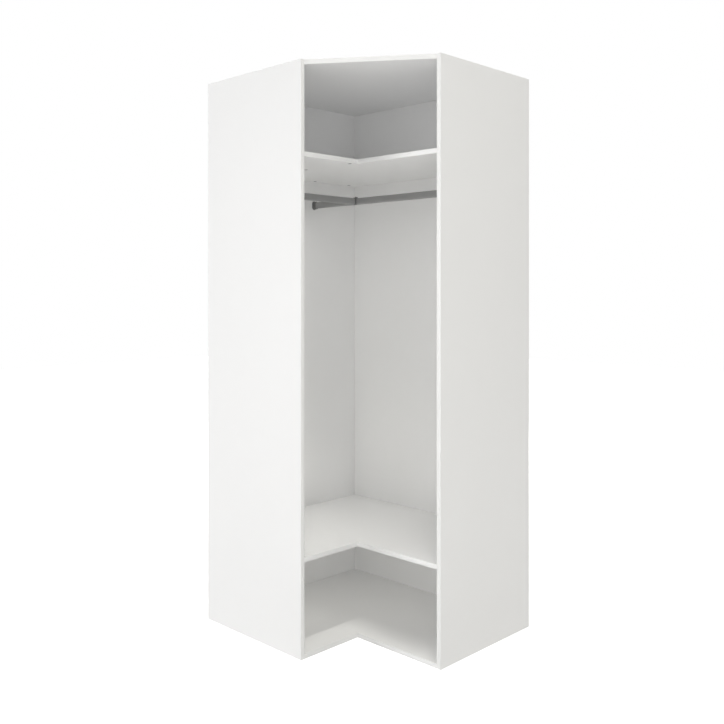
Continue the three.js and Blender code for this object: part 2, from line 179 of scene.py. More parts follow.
# Boards. Each is sawn to an outline, then drilled from its underside for the cams and from its ends for
# their bolts. One tree makes them all: it raises the outline and drills at the loose points.
def new_tree(name, **inputs):
    """Geometry tree with an input for each name, of the kind given."""
    tree = bpy.data.node_groups.new(name, "GeometryNodeTree")
    for label, kind in inputs.items():
        tree.interface.new_socket(label.replace("_", " "), in_out="INPUT", socket_type="NodeSocket" + kind)
    tree.interface.new_socket("Geometry", in_out="OUTPUT", socket_type="NodeSocketGeometry")
    return tree, tree.nodes.new("NodeGroupInput").outputs


def made_by(tree, kind, output="Geometry", **inputs):
    return add_node(tree, kind, **inputs).outputs[output]


def math_of(tree, operation, *values):
    node = tree.nodes.new("ShaderNodeMath")
    node.operation = operation
    for socket, value in zip(node.inputs, values):
        give(tree, socket, value)
    return node.outputs["Value"]


def plus(tree, first, second):
    return math_of(tree, "ADD", first, second)


def minus(tree, first, second):
    return math_of(tree, "SUBTRACT", first, second)


def times(tree, first, second):
    return math_of(tree, "MULTIPLY", first, second)


def vector_of(tree, x, y, z):
    return made_by(tree, "ShaderNodeCombineXYZ", "Vector", X=x, Y=y, Z=z)


def moved(tree, geometry, **how):
    return made_by(tree, "GeometryNodeTransform", Geometry=geometry, **how)


def shifted(tree, geometry, x, y, z):
    return moved(tree, geometry, Translation=vector_of(tree, x, y, z))


def copied(tree, geometry, points, **how):
    """Real copies of a geometry at loose points."""
    copies = made_by(
        tree, "GeometryNodeInstanceOnPoints", "Instances", Points=points, Instance=geometry, **how,
    )
    return made_by(tree, "GeometryNodeRealizeInstances", Geometry=copies)


def cylinder(tree, radius, depth, sides=32):
    """Upright cylinder, centred on the origin."""
    return made_by(tree, "GeometryNodeMeshCylinder", "Mesh", Vertices=sides, Radius=radius, Depth=depth)


def joined(tree, *parts):
    join = tree.nodes.new("GeometryNodeJoinGeometry")
    for part in reversed(parts):
        feed(tree, join, Geometry=part)
    return join.outputs["Geometry"]


def welded(tree, geometry):
    """Geometry whose coinciding points are made one."""
    return made_by(tree, "GeometryNodeMergeByDistance", Geometry=geometry, Distance=1e-6)


def raised(tree, faces, height):
    """Closed solid over flat faces: they are extruded, and a turned copy of them closes the lower end."""
    offset = vector_of(tree, 0.0, 0.0, height)
    upper = made_by(tree, "GeometryNodeExtrudeMesh", "Mesh", Mesh=faces, Offset=offset, Individual=False)
    lower = made_by(tree, "GeometryNodeFlipFaces", "Mesh", Mesh=faces)
    return welded(tree, joined(tree, upper, lower))


def solid_of(tree, operation, first, *others):
    """Joins or cuts closed solids."""
    boolean = tree.nodes.new("GeometryNodeMeshBoolean")
    boolean.operation = operation
    boolean.solver = "EXACT"
    feed(tree, boolean, Self_Intersection=True)
    parts = [(part, "Mesh 2") for part in others]
    parts.insert(0, (first, "Mesh 1" if operation == "DIFFERENCE" else "Mesh 2"))
    for part, name in parts:
        tree.links.new(part, boolean.inputs[name])
    return boolean.outputs["Mesh"]


def painted(tree, geometry, material):
    return made_by(tree, "GeometryNodeSetMaterial", Geometry=geometry, Material=material)


def end_tree(tree, geometry):
    realized = made_by(tree, "GeometryNodeRealizeInstances", Geometry=geometry)
    add_node(tree, "NodeGroupOutput", Geometry=realized)
    return tree


def named_attribute(tree, name, kind):
    node = add_node(tree, "GeometryNodeInputNamedAttribute", Name=name)
    node.data_type = kind
    return next(socket for socket in node.outputs if socket.enabled)


quarter_turn, half_turn = math.pi / 2, math.pi


def board_tree():
    tree, given = new_tree(
        "sawn_and_drilled_board", Outline="Geometry", Thickness="Float", Pocket_Radius="Float",
        Pocket_Depth="Float", Bore_Radius="Float", Bore_Length="Float", Bore_Level="Float",
        Face="Material", Core="Material",
    )
    parts = tree.nodes.new("GeometryNodeSeparateGeometry")
    parts.domain = "POINT"
    feed(tree, parts, Geometry=given["Outline"], Selection=named_attribute(tree, "drilled", "BOOLEAN"))
    board = painted(tree, raised(tree, parts.outputs["Inverted"], given["Thickness"]), given["Face"])
    pocket = cylinder(tree, given["Pocket Radius"], times(tree, given["Pocket Depth"], 2.0), sides=48)
    bore = cylinder(tree, given["Bore Radius"], given["Bore Length"], sides=24)
    laid = moved(
        tree, bore, Rotation=(0.0, quarter_turn, 0.0),
        Translation=vector_of(tree, times(tree, given["Bore Length"], 0.5), 0.0, given["Bore Level"]),
    )
    heading = vector_of(tree, 0.0, 0.0, named_attribute(tree, "turn", "FLOAT"))
    drills = []
    for drill in (pocket, laid):
        copies = copied(tree, drill, parts.outputs["Selection"], Rotation=heading)
        drills.append(painted(tree, copies, given["Core"]))
    return end_tree(tree, solid_of(tree, "DIFFERENCE", board, *drills))


board_maker = board_tree()


def run_tree(tree, mesh=None, **values):
    """Runs a geometry tree on a mesh and gives back its result as a plain mesh."""
    maker = bpy.data.objects.new(tree.name, mesh or bpy.data.meshes.new(tree.name))
    bpy.context.scene.collection.objects.link(maker)
    modifier = maker.modifiers.new(tree.name, "NODES")
    modifier.node_group = tree
    for item in tree.interface.items_tree:
        label = item.name.replace(" ", "_")
        if item.in_out == "INPUT" and label in values:
            modifier[item.identifier] = values[label]
    made = bpy.data.meshes.new_from_object(maker.evaluated_get(bpy.context.evaluated_depsgraph_get()))
    bpy.data.objects.remove(maker)
    for index in reversed(range(len(made.materials))):
        if made.materials[index] is None:
            made.materials.pop(index=index)
    return made


body_of = {node: body for body, nodes in frame["record"]["behaviour"]["bodies"].items() for node in nodes}


def add_piece(name, mesh, node, rounding=0.0, replaces=True):
    """Puts a finished mesh in the scene with its edges eased. It rides with its node's body."""
    eased_from = math.radians(30)
    mesh.shade_smooth()
    mesh.set_sharp_from_angle(angle=eased_from)
    piece = bpy.data.objects.new(name, mesh)
    bpy.context.scene.collection.objects.link(piece)
    if rounding:
        ease = piece.modifiers.new("eased_edges", "BEVEL")
        ease.width = rounding
        ease.segments = 3
        ease.limit_method = "ANGLE"
        ease.angle_limit = eased_from
        ease.use_clamp_overlap = False
        ease.harden_normals = True
        eased = piece.evaluated_get(bpy.context.evaluated_depsgraph_get())
        piece.data = bpy.data.meshes.new_from_object(eased)
        piece.modifiers.remove(ease)
    piece.data.name = name
    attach(piece, body_of[node])
    if replaces:
        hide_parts(node)


left_end_low, left_end_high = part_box("left_end_panel")
right_end_low, right_end_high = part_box("right_end_panel")
outer_left, outer_front = left_end_low.x, left_end_low.y
left_arm_front, inner_front = left_end_high.x, left_end_high.y
inner_right, right_arm_front = right_end_low.x, right_end_low.y
outer_right, outer_back = right_end_high.x, right_end_high.y
height = left_end_high.z
thick = inner_front - outer_front
inner_left = outer_left + thick
inner_back = outer_back - thick
levels = ("base", "lower_shelf", "upper_shelf")
level_bottoms = {level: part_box(f"{level}_long_board")[0].z for level in levels}

edging_thick = 0.001
board_rounding = 0.00025
pocket_play = 0.0003
bore_play = 0.0005


def rectangle(low_x, low_y, high_x, high_y):
    return [(low_x, low_y), (high_x, low_y), (high_x, high_y), (low_x, high_y)]


def cam_place(node):
    """Middle of a cam's face, and the level direction from the cam to its bolt."""
    low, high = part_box(node)
    bolt_low, bolt_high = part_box(node.replace("_cam_", "_bolt_"))
    centre = (low + high) / 2
    away = (bolt_low + bolt_high) / 2 - centre
    return Vector((centre.x, centre.y, low.z)), math.atan2(away.y, away.x)


def cams_in(board):
    """Place and direction of each cam lock that is let into this board."""
    level, _, kind = board.partition("_shelf_")
    ends = {"long_board": ("back", "right"), "short_board": ("joint", "left")}.get(kind, ())
    return [
        cam_place(node)
        for node in sorted(frame["nodes"])
        if any(node.startswith(f"{level}_shelf_{end}_cam_") for end in ends)
    ]


def outline_mesh(name, corners, bottom, locks):
    """Flat outline with a loose point at each cam lock, marked as drilled and turned as its bolt lies."""
    points = [(x, y, bottom) for x, y in corners] + [tuple(place) for place, _ in locks]
    mesh = bpy.data.meshes.new(name)
    mesh.from_pydata(points, [], [range(len(corners))])
    mesh.attributes.new("drilled", "BOOLEAN", "POINT")
    mesh.attributes.new("turn", "FLOAT", "POINT")
    for index, (_, direction) in enumerate(locks, len(corners)):
        mesh.attributes["drilled"].data[index].value = True
        mesh.attributes["turn"].data[index].value = direction
    return mesh


cam_low, cam_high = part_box("lower_shelf_back_cam_rear")
bolt_low, bolt_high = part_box("lower_shelf_back_bolt_rear")
cam_radius = (cam_high.x - cam_low.x) / 2
cam_height = cam_high.z - cam_low.z
ball_radius = (bolt_high.z - bolt_low.z) / 2
bolt_level = (bolt_high.z + bolt_low.z) / 2 - cam_low.z
cam_from_end = cam_high.x - cam_radius - inner_left


def add_board(node, corners, bottom, top, raw_sides=()):
    """Board over an outline, from bottom to top. Its faces that look to a raw side are bare chipboard."""
    mesh = run_tree(
        board_maker,
        outline_mesh(node, corners, bottom, cams_in(node)),
        Thickness=top - bottom,
        Pocket_Radius=cam_radius + pocket_play,
        Pocket_Depth=cam_height + pocket_play,
        Bore_Radius=ball_radius + bore_play,
        Bore_Length=cam_from_end * 2,
        Bore_Level=bolt_level,
        Face=melamine,
        Core=chipboard,
    )
    same_way = 0.9
    if raw_sides:
        mesh.materials.append(chipboard)
    for side in raw_sides:
        for face in mesh.polygons:
            if face.normal.dot(Vector(side)) > same_way:
                face.material_index = len(mesh.materials) - 1
    add_piece(f"{node}_board", mesh, node, rounding=board_rounding)


to_left, to_right = (-1.0, 0.0, 0.0), (1.0, 0.0, 0.0)
to_front, to_back = (0.0, -1.0, 0.0), (0.0, 1.0, 0.0)
downwards, upwards = (0.0, 0.0, -1.0), (0.0, 0.0, 1.0)

under_edging = height - edging_thick
behind_left_edging = left_arm_front - edging_thick
behind_right_edging = right_arm_front + edging_thick
add_board(
    "left_back_panel", rectangle(outer_left, inner_front, inner_left, outer_back), 0.0, under_edging,
    raw_sides=(to_back, downwards),
)
add_board(
    "right_back_panel", rectangle(inner_left, inner_back, inner_right, outer_back), 0.0, under_edging,
    raw_sides=(downwards,),
)
add_board(
    "left_end_panel", rectangle(outer_left, outer_front, behind_left_edging, inner_front), 0.0, under_edging,
    raw_sides=(to_left, downwards),
)
add_board(
    "right_end_panel", rectangle(inner_right, behind_right_edging, outer_right, outer_back),
    0.0, under_edging, raw_sides=(to_back, downwards),
)
slant = Vector((inner_right - left_arm_front, right_arm_front - inner_front, 0.0)).normalized()
slant_front = Vector((slant.y, -slant.x, 0.0))
along_end = edging_thick / slant_front.x
along_side = edging_thick / -slant_front.y
add_board(
    "top_panel",
    [
        (inner_left, inner_front),
        (left_arm_front - along_end, inner_front),
        (inner_right, right_arm_front + along_side),
        (inner_right, inner_back),
        (inner_left, inner_back),
    ],
    height - thick, height,
)
for level, bottom in level_bottoms.items():
    long_corners = rectangle(inner_left, behind_right_edging, inner_right, inner_back)
    short_corners = rectangle(inner_left, inner_front, behind_left_edging, right_arm_front)
    add_board(f"{level}_long_board", long_corners, bottom, bottom + thick)
    add_board(f"{level}_short_board", short_corners, bottom, bottom + thick)


# Edging. A strip of white plastic, as wide as the board is thick, is glued along every edge that shows, and
# its corners are scraped round. One tree makes the strip, which is then laid along each edge.
def rounded_outline(tree, width, height, radius, steps):
    """Upright outline with rounded corners."""
    corners = made_by(tree, "GeometryNodeCurvePrimitiveQuadrilateral", "Curve", Width=width, Height=height)
    fillet = tree.nodes.new("GeometryNodeFilletCurve")
    fillet.mode = "POLY"
    return feed(tree, fillet, Curve=corners, Count=steps, Radius=radius).outputs["Curve"]


def bar(tree, length, *outlines):
    """Solid of the given length along Z whose section lies between the outlines."""
    fill = tree.nodes.new("GeometryNodeFillCurve")
    fill.mode = "NGONS"
    return raised(tree, feed(tree, fill, Curve=joined(tree, *outlines)).outputs["Mesh"], length)


def strip_tree():
    tree, given = new_tree(
        "edging_strip", Thickness="Float", Width="Float", Length="Float", Round="Float", Finish="Material",
    )
    outline = rounded_outline(tree, given["Thickness"], given["Width"], given["Round"], steps=3)
    return end_tree(tree, painted(tree, bar(tree, given["Length"], outline), given["Finish"]))


strip_maker = strip_tree()
# The edging is a little greyer than the board faces. This is partly the plastic's own tone and partly
# painted shade on the front edges, which the frontal lamps would otherwise light too brightly.
edging = pearled_material(
    "edging",
    colours=((0.82, 0.82, 0.815, 1.0), (0.84, 0.84, 0.835, 1.0)),
    roughness=(0.4, 0.46),
    grains=900.0,
    patches=14.0,
    depth=0.00001,
)
edging_round = 0.00035


def add_edging(node, side, start, end, outward):
    """Strip along a board's edge, whose outer face has its middle line from start to end."""
    start, end, outward = Vector(start), Vector(end), Vector(outward)
    along = (end - start).normalized()
    across = along.cross(outward)
    strip = run_tree(
        strip_maker, Thickness=edging_thick, Width=thick, Length=(end - start).length,
        Round=edging_round, Finish=edging,
    )
    turn = Matrix((outward, across, along)).transposed().to_4x4()
    strip.transform(Matrix.Translation(start - outward * (edging_thick / 2)) @ turn)
    add_piece(f"{node}_{side}_edging", strip, node, replaces=False)


half = thick / 2
left_end_middle = outer_front + half
right_end_middle = outer_right - half
left_back_middle = outer_left + half
right_back_middle = outer_back - half
add_edging(
    "left_end_panel", "front",
    (left_arm_front, left_end_middle, 0.0), (left_arm_front, left_end_middle, height), to_right,
)
add_edging(
    "right_end_panel", "front",
    (right_end_middle, right_arm_front, 0.0), (right_end_middle, right_arm_front, height), to_front,
)
add_edging(
    "left_end_panel", "top",
    (outer_left, left_end_middle, height), (behind_left_edging, left_end_middle, height), upwards,
)
add_edging(
    "right_end_panel", "top",
    (right_end_middle, behind_right_edging, height), (right_end_middle, outer_back, height), upwards,
)
add_edging(
    "left_back_panel", "top",
    (left_back_middle, inner_front, height), (left_back_middle, outer_back, height), upwards,
)
add_edging(
    "right_back_panel", "top",
    (inner_left, right_back_middle, height), (inner_right, right_back_middle, height), upwards,
)
add_edging(
    "top_panel", "front",
    (left_arm_front, inner_front, height - half), (inner_right, right_arm_front, height - half), slant_front,
)
for level, bottom in level_bottoms.items():
    middle = bottom + half
    add_edging(
        f"{level}_long_board", "front",
        (inner_left, right_arm_front, middle), (inner_right, right_arm_front, middle), to_front,
    )
    add_edging(
        f"{level}_short_board", "front",
        (left_arm_front, inner_front, middle), (left_arm_front, right_arm_front, middle), to_right,
    )


# Cam locks. Each is a drum of cast zinc, pressed into a pocket in a shelf's underside, whose off-centre
# cavity draws in the ball of its bolt. Its face has a driver's cross and an arrow that points to its mouth.
def block(tree, low, high):
    """Box between two opposite corners, each given as three numbers or sockets."""
    size = [minus(tree, end, start) for start, end in zip(low, high)]
    middle = [times(tree, plus(tree, start, end), 0.5) for start, end in zip(low, high)]
    cube = made_by(tree, "GeometryNodeMeshCube", "Mesh", Size=vector_of(tree, *size))
    return shifted(tree, cube, *middle)


def cone(tree, lower_radius, upper_radius, depth):
    """Cone cut off at both ends, which stands on the origin."""
    return made_by(
        tree, "GeometryNodeMeshCone", "Mesh", Vertices=32, Radius_Bottom=lower_radius,
        Radius_Top=upper_radius, Depth=depth,
    )


def cross_recess(tree, reach, width, depth):
    """Driver's cross to cut from the level Z = 0 upwards, whose arms taper towards its floor."""
    root_share, tip_share = 1.5, 0.5
    below = times(tree, depth, -1.0)
    arm_start, arm_end = times(tree, reach, -2.0), times(tree, reach, 2.0)
    other_half, half_arm = times(tree, width, -0.5), times(tree, width, 0.5)
    cross = solid_of(
        tree, "UNION",
        block(tree, (arm_start, other_half, below), (arm_end, half_arm, depth)),
        block(tree, (other_half, arm_start, below), (half_arm, arm_end, depth)),
    )
    root, tip = times(tree, reach, root_share), times(tree, reach, tip_share)
    taper = shifted(tree, cone(tree, root, tip, times(tree, depth, 2.0)), 0.0, 0.0, below)
    return solid_of(tree, "INTERSECT", cross, taper)


def cam_tree():
    """Cam that stands on its face, locked, with the bolt's way along +X and the mouth on the side of -X."""
    lengths = (
        "Radius", "Height", "Bolt_Level", "Ball_Radius", "Neck_Radius", "Cavity_Radius", "Cavity_Throw",
        "Play", "Cross_Reach", "Cross_Width", "Cross_Depth", "Arrow_Reach", "Arrow_Length", "Arrow_Width",
        "Arrow_Depth",
    )
    tree, given = new_tree("cam_lock", **dict.fromkeys(lengths, "Float"), Finish="Material")
    radius, drum_height, level = given["Radius"], given["Height"], given["Bolt Level"]
    mouth_half = plus(tree, given["Ball Radius"], given["Play"])
    neck_half = plus(tree, given["Neck Radius"], given["Play"])
    floor = minus(tree, level, mouth_half)
    above = times(tree, drum_height, 2.0)
    past, not_past = times(tree, radius, 2.0), times(tree, radius, -2.0)
    drum = cylinder(tree, radius, drum_height, sides=64)
    cavity_depth = times(tree, minus(tree, drum_height, floor), 2.0)
    cavity = cylinder(tree, given["Cavity Radius"], cavity_depth, sides=48)
    triangle = cylinder(tree, 1.0, times(tree, given["Arrow Depth"], 2.0), sides=3)
    triangle_length, triangle_width = 1.5, math.sqrt(3.0)
    arrow_scale = vector_of(
        tree,
        math_of(tree, "DIVIDE", given["Arrow Length"], triangle_length),
        math_of(tree, "DIVIDE", given["Arrow Width"], triangle_width),
        1.0,
    )
    to_middle = times(tree, given["Arrow Length"], 1.0 / triangle_length)
    arrow_middle = minus(tree, to_middle, given["Arrow Reach"])
    arrow = moved(
        tree, triangle, Scale=arrow_scale, Rotation=(0.0, 0.0, half_turn),
        Translation=vector_of(tree, arrow_middle, 0.0, 0.0),
    )
    cut = solid_of(
        tree, "DIFFERENCE",
        shifted(tree, drum, 0.0, 0.0, times(tree, drum_height, 0.5)),
        shifted(tree, cavity, times(tree, given["Cavity Throw"], -1.0), 0.0, drum_height),
        block(tree, (not_past, times(tree, mouth_half, -1.0), floor), (0.0, mouth_half, above)),
        block(
            tree, (not_past, times(tree, neck_half, -1.0), minus(tree, level, neck_half)),
            (past, past, plus(tree, level, neck_half)),
        ),
        cross_recess(tree, given["Cross Reach"], given["Cross Width"], given["Cross Depth"]),
        arrow,
    )
    return end_tree(tree, painted(tree, cut, given["Finish"]))


cast_zinc = pearled_material(
    "cast_zinc",
    colours=((0.13, 0.13, 0.134, 1.0), (0.19, 0.19, 0.194, 1.0)),
    roughness=(0.5, 0.65),
    grains=5000.0,
    patches=260.0,
    depth=0.00006,
    metallic=0.4,
)
neck_radius = 0.0021
fitting_play = 0.0003
cam_mesh = run_tree(
    cam_tree(),
    Radius=cam_radius,
    Height=cam_height,
    Bolt_Level=bolt_level,
    Ball_Radius=ball_radius,
    Neck_Radius=neck_radius,
    Cavity_Radius=0.0049,
    Cavity_Throw=0.0006,
    Play=fitting_play,
    Cross_Reach=0.0032,
    Cross_Width=0.0014,
    Cross_Depth=0.0026,
    Arrow_Reach=0.0068,
    Arrow_Length=0.0022,
    Arrow_Width=0.0024,
    Arrow_Depth=0.0007,
    Finish=cast_zinc,
)
cams = [node for node in sorted(frame["nodes"]) if "_cam_" in node]
for node in cams:
    place, direction = cam_place(node)
    drum = cam_mesh.copy()
    drum.transform(Matrix.Translation(place) @ Matrix.Rotation(direction, 4, "Z"))
    add_piece(f"{node}_drum", drum, node, rounding=0.00012)


# Connecting bolts and screws. They are turned and rolled from steel wire, then zinc-plated. Each cam has a
# bolt with a ball head, and each rail socket has two countersunk screws in its floor.
def screw_tree():
    """Turned piece about Z from the points of its half outline, whose attributes give the shape."""
    tree, given = new_tree(
        "turned_and_threaded", Outline="Geometry", Points="Int", Sides="Int", Pitch="Float",
        Recess_Level="Float", Recess_Reach="Float", Recess_Width="Float", Recess_Depth="Float",
        Finish="Material",
    )
    grid = made_by(
        tree, "GeometryNodeMeshGrid", "Mesh", Size_X=1.0, Size_Y=1.0,
        Vertices_X=given["Points"], Vertices_Y=plus(tree, given["Sides"], 1.0),
    )
    position = made_by(tree, "GeometryNodeInputPosition", "Position")
    where = add_node(tree, "ShaderNodeSeparateXYZ", Vector=position).outputs
    last = minus(tree, given["Points"], 1.0)
    row = math_of(tree, "ROUND", times(tree, plus(tree, where["X"], 0.5), last))
    share = plus(tree, where["Y"], 0.5)
    found = {}
    for name in ("radius", "along", "thread"):
        sample = tree.nodes.new("GeometryNodeSampleIndex")
        sample.data_type = "FLOAT"
        feed(tree, sample, Geometry=given["Outline"], Value=named_attribute(tree, name, "FLOAT"), Index=row)
        found[name] = sample.outputs["Value"]
    turns = plus(tree, math_of(tree, "DIVIDE", found["along"], given["Pitch"]), share)
    wave = math_of(tree, "ABSOLUTE", minus(tree, math_of(tree, "FRACT", turns), 0.5))
    groove = times(tree, found["thread"], times(tree, wave, 2.0))
    radius = minus(tree, found["radius"], groove)
    angle = times(tree, share, math.tau)
    place = vector_of(
        tree, times(tree, radius, math_of(tree, "COSINE", angle)),
        times(tree, radius, math_of(tree, "SINE", angle)), found["along"],
    )
    turned = made_by(tree, "GeometryNodeSetPosition", Geometry=grid, Position=place)
    recess = cross_recess(tree, given["Recess Reach"], given["Recess Width"], given["Recess Depth"])
    sunk = moved(
        tree, recess, Rotation=(half_turn, 0.0, 0.0),
        Translation=vector_of(tree, 0.0, 0.0, given["Recess Level"]),
    )
    screw = solid_of(tree, "DIFFERENCE", welded(tree, turned), sunk)
    return end_tree(tree, painted(tree, screw, given["Finish"]))


screw_maker = screw_tree()


def arc(centre, radius, start, end, steps, height_share=1.0):
    """Unthreaded points of a round stretch between two angles, which are measured from the axis."""
    angles = [start + (end - start) * step / steps for step in range(steps + 1)]
    return [
        (centre + radius * height_share * math.cos(angle), radius * math.sin(angle), 0.0) for angle in angles
    ]


def threaded(start, end, radius, pitch, depth):
    """Points of a threaded stretch, close enough to carry the thread's ridges."""
    points_per_turn = 6
    steps = round(abs(end - start) / pitch * points_per_turn)
    return [(start + (end - start) * step / steps, radius, depth) for step in range(steps + 1)]


def turned_mesh(name, points, **values):
    """Solid from points that give distance along the axis, radius and depth of thread, from tip to head."""
    outline = bpy.data.meshes.new(name)
    outline.from_pydata([(radius, 0.0, along) for along, radius, _ in points], [], [])
    for index, attribute in enumerate(("along", "radius", "thread")):
        stored = outline.attributes.new(attribute, "FLOAT", "POINT")
        for item, point in zip(stored.data, points):
            item.value = point[index]
    return run_tree(screw_maker, outline, Points=len(points), Sides=32, **values)


def facing(place, along):
    """Place and turn for a piece modelled along its own Z, with Y up, to point along a level direction."""
    along, up = Vector(along), Vector(upwards)
    turn = Matrix((up.cross(along), up, along)).transposed().to_4x4()
    return Matrix.Translation(place) @ turn


plated_steel = pearled_material(
    "plated_steel",
    colours=((0.42, 0.42, 0.43, 1.0), (0.56, 0.56, 0.56, 1.0)),
    roughness=(0.28, 0.4),
    grains=3000.0,
    patches=180.0,
    depth=0.00002,
    metallic=1.0,
)
ball_offset = inner_left + cam_from_end - bolt_high.x + ball_radius
bolt_end = ball_offset - ball_radius + bolt_high.x - bolt_low.x
drum_clearance = 0.0006
shank_start = cam_radius + drum_clearance
shoulder = cam_from_end - fitting_play
thread_radius = 0.0025
neck_angle = math.asin(neck_radius / ball_radius)
bolt_pitch = 0.0012
thread_depth = 0.0006
thread_root = thread_radius - thread_depth
eased = 0.0003
bolt_points = [
    (-bolt_end, 0.0, 0.0),
    (-bolt_end, thread_root, 0.0),
    *threaded(eased * 2 - bolt_end, -eased * 2 - shoulder, thread_radius, bolt_pitch, thread_depth),
    (-eased - shoulder, thread_root, 0.0),
    (-shoulder, thread_root, 0.0),
    (-shoulder, ball_radius - eased, 0.0),
    (eased - shoulder, ball_radius, 0.0),
    (-eased - shank_start, ball_radius, 0.0),
    (-shank_start, ball_radius - eased, 0.0),
    (-shank_start, neck_radius, 0.0),
    *arc(-ball_offset, ball_radius, math.pi - neck_angle, 0.0, steps=14),
]
bolt_mesh = turned_mesh(
    "connecting_bolt", bolt_points, Pitch=bolt_pitch, Recess_Level=ball_radius - ball_offset,
    Recess_Reach=0.0016, Recess_Width=0.0007, Recess_Depth=0.0012, Finish=plated_steel,
)
for node in cams:
    place, direction = cam_place(node)
    bolt = bolt_mesh.copy()
    to_ball = (-math.cos(direction), -math.sin(direction), 0.0)
    bolt.transform(facing(place + Vector(upwards) * bolt_level, to_ball))
    bolt_node = node.replace("_cam_", "_bolt_")
    add_piece(f"{bolt_node}_turned", bolt, bolt_node)

screw_low, screw_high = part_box("long_rail_left_socket_screw_upper")
head_radius = (screw_high.z - screw_low.z) / 2
screw_radius = 0.00175
head_high = 0.002
screw_pitch = 0.0013
screw_tip = 0.0025
screw_depth = 0.0005
head_face = screw_high.x - inner_left
screw_end = screw_low.x - inner_left
screw_points = [
    (screw_end, 0.0, 0.0),
    (screw_end + eased, eased, 0.0),
    *threaded(screw_end + screw_tip, head_face - head_high * 2, screw_radius, screw_pitch, screw_depth),
    (head_face - head_high - screw_depth, screw_radius - screw_depth, 0.0),
    (head_face - head_high, screw_radius - screw_depth, 0.0),
    (head_face - eased, head_radius, 0.0),
    (head_face, head_radius - eased, 0.0),
    (head_face, 0.0, 0.0),
]
cross_reach_share, cross_width_share = 0.62, 0.3
screw_mesh = turned_mesh(
    "countersunk_screw", screw_points, Pitch=screw_pitch, Recess_Level=head_face,
    Recess_Reach=head_radius * cross_reach_share, Recess_Width=head_radius * cross_width_share,
    Recess_Depth=0.0014, Finish=plated_steel,
)
into_room = {"long_rail_left": to_right, "long_rail_right": to_left, "short_rail": to_back}
panel_faces = {
    "long_rail_left": (inner_left, None),
    "long_rail_right": (inner_right, None),
    "short_rail": (None, inner_front),
}


def on_panel(node, rail_end):
    """Place on the face of the panel that carries a fitting, opposite the middle of its node's box."""
    low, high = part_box(node)
    middle = (low + high) / 2
    face_x, face_y = panel_faces[rail_end]
    return Vector((middle.x if face_x is None else face_x, middle.y if face_y is None else face_y, middle.z))


for rail_end, inward in into_room.items():
    for row in ("upper", "lower"):
        node = f"{rail_end}_socket_screw_{row}"
        screw = screw_mesh.copy()
        screw.transform(facing(on_panel(node, rail_end), inward))
        add_piece(f"{node}_turned", screw, node)


# Rail sockets. Each is a cast zinc cup with the rails' satin plating: an oval flange that the screws hold to
# the panel, and a sleeve that takes the rail's end.
def oval(tree, width, height):
    """Upright outline with straight sides and round ends."""
    return rounded_outline(tree, width, height, times(tree, width, 0.5), steps=20)


def socket_tree():
    lengths = (
        "Flange_Width", "Flange_Height", "Flange_Thickness", "Sleeve_Width", "Sleeve_Height", "Sleeve_Reach",
        "Mouth_Width", "Mouth_Height", "Screw_Spread", "Screw_Radius", "Head_Radius", "Head_Height",
    )
    tree, given = new_tree("rail_socket", **dict.fromkeys(lengths, "Float"), Finish="Material")
    face, reach = given["Flange Thickness"], given["Sleeve Reach"]
    flange = bar(tree, face, oval(tree, given["Flange Width"], given["Flange Height"]))
    sleeve = bar(tree, reach, oval(tree, given["Sleeve Width"], given["Sleeve Height"]))
    mouth = bar(tree, reach, oval(tree, given["Mouth Width"], given["Mouth Height"]))
    cuts = [shifted(tree, mouth, 0.0, 0.0, face)]
    sink = minus(tree, face, given["Head Height"])
    for side in (0.5, -0.5):
        level = times(tree, given["Screw Spread"], side)
        way = cylinder(tree, given["Screw Radius"], times(tree, face, 2.0))
        seat = cone(tree, given["Screw Radius"], given["Head Radius"], given["Head Height"])
        cuts += [shifted(tree, way, 0.0, level, 0.0), shifted(tree, seat, 0.0, level, sink)]
    socket = solid_of(tree, "DIFFERENCE", solid_of(tree, "UNION", flange, sleeve), *cuts)
    return end_tree(tree, painted(tree, socket, given["Finish"]))


satin_zinc = pearled_material(
    "satin_zinc",
    colours=((0.18, 0.18, 0.18, 1.0), (0.23, 0.23, 0.23, 1.0)),
    roughness=(0.38, 0.5),
    grains=3500.0,
    patches=120.0,
    depth=0.00003,
    metallic=0.7,
)
socket_low, socket_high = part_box("long_rail_left_socket")
rail_low, rail_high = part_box("long_rail")
rail_wide, rail_tall = rail_high.y - rail_low.y, rail_high.z - rail_low.z
rail_level = (rail_low.z + rail_high.z) / 2
sleeve_wall = 0.0025
mouth_wide, mouth_tall = rail_wide + 2 * fitting_play, rail_tall + 2 * fitting_play
socket_mesh = run_tree(
    socket_tree(),
    Flange_Width=socket_high.y - socket_low.y,
    Flange_Height=socket_high.z - socket_low.z,
    Flange_Thickness=0.003,
    Sleeve_Width=mouth_wide + 2 * sleeve_wall,
    Sleeve_Height=mouth_tall + 2 * sleeve_wall,
    Sleeve_Reach=socket_high.x - socket_low.x,
    Mouth_Width=mouth_wide,
    Mouth_Height=mouth_tall,
    Screw_Spread=screw_low.z + screw_high.z - 2 * rail_level,
    Screw_Radius=screw_radius + fitting_play,
    Head_Radius=head_radius + fitting_play,
    Head_Height=head_high,
    Finish=satin_zinc,
)
for rail_end, inward in into_room.items():
    node = f"{rail_end}_socket"
    socket = socket_mesh.copy()
    socket.transform(facing(on_panel(node, rail_end), inward))
    add_piece(f"{node}_cup", socket, node, rounding=0.0005)


